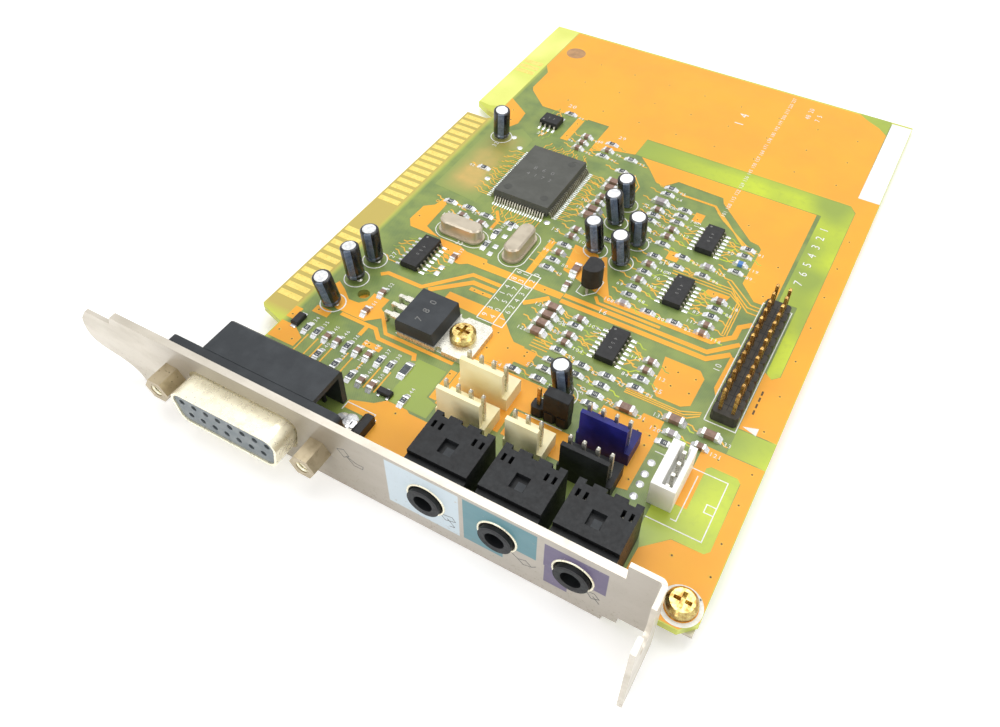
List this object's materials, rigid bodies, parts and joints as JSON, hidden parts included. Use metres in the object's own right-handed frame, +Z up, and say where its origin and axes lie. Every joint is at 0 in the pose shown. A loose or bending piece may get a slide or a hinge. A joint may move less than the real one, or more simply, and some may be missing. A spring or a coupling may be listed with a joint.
{
  "type": "isa sound card",
  "caption": "Expansion card with a slotted metal bracket, edge contacts, a game port, round audio sockets, pin headers and small electronic parts on one face.",
  "frame": {"origin": "on the component face of the board, at the line of the front edge and in line with the tips of the edge contacts", "axes": "+X along the bracket towards its screw tab, +Y away from the bracket along the board, +Z up from the component face"},
  "size_m": [0.1252, 0.1672, 0.0197],
  "materials": {
    "board": "glossy solder mask over copper and green laminate",
    "gold": "thin gold plating",
    "nickel": "dull nickel-plated steel",
    "tin": "tinned metal",
    "grey_plastic": "matt",
    "black_plastic": "fine matt grain",
    "cream_plastic": "satin",
    "blue_plastic": "satin",
    "white_plastic": "satin",
    "chip_body": "moulded epoxy",
    "ceramic": "fired ceramic",
    "sleeve": "shrunk film sleeve",
    "label": "paper"
  },
  "bodies": {
    "root": {"circuit_board": "board", "edge_contacts": "gold", "mounting_bracket": "nickel", "bracket_screw": "nickel", "gameport_shell": "nickel", "gameport_insulator": "grey_plastic", "gameport_housing": "black_plastic", "gameport_contacts": "tin", "nut_clip_left": "nickel", "ground_clip_right": "nickel", "jackscrew_left": "nickel", "jackscrew_right": "nickel", "audio_jack_1": "black_plastic", "audio_jack_2": "black_plastic", "audio_jack_3": "black_plastic", "jack_springs": "tin", "header_block": "black_plastic", "header_pins": "gold", "rear_wafer": "cream_plastic", "front_wafer": "cream_plastic", "short_wafer": "cream_plastic", "black_wafer": "black_plastic", "blue_wafer": "blue_plastic", "box_wafer": "white_plastic", "wafer_pins": "tin", "jumper_block": "black_plastic", "jumper_pins": "gold", "jumper_cap": "black_plastic", "main_chip": "chip_body", "main_chip_leads": "tin", "codec_chip": "chip_body", "mixer_chip": "chip_body", "line_chip": "chip_body", "output_chip": "chip_body", "memory_chip": "chip_body", "small_chip_leads": "tin", "crystal_1": "nickel", "crystal_2": "nickel", "regulator": "chip_body", "regulator_tab": "tin", "regulator_leads": "tin", "regulator_screw": "nickel", "regulator_nut": "nickel", "transistor": "chip_body", "choke": "chip_body", "small_diode": "chip_body", "small_transistor": "chip_body", "resistors": "chip_body", "ceramic_capacitors": "ceramic", "label": "label", "capacitor_1": "sleeve", "capacitor_2": "sleeve", "capacitor_3": "sleeve", "capacitor_4": "sleeve", "capacitor_5": "sleeve", "capacitor_6": "sleeve", "capacitor_7": "sleeve", "capacitor_8": "sleeve", "capacitor_9": "sleeve", "capacitor_10": "sleeve"}
  },
  "joints": []
}
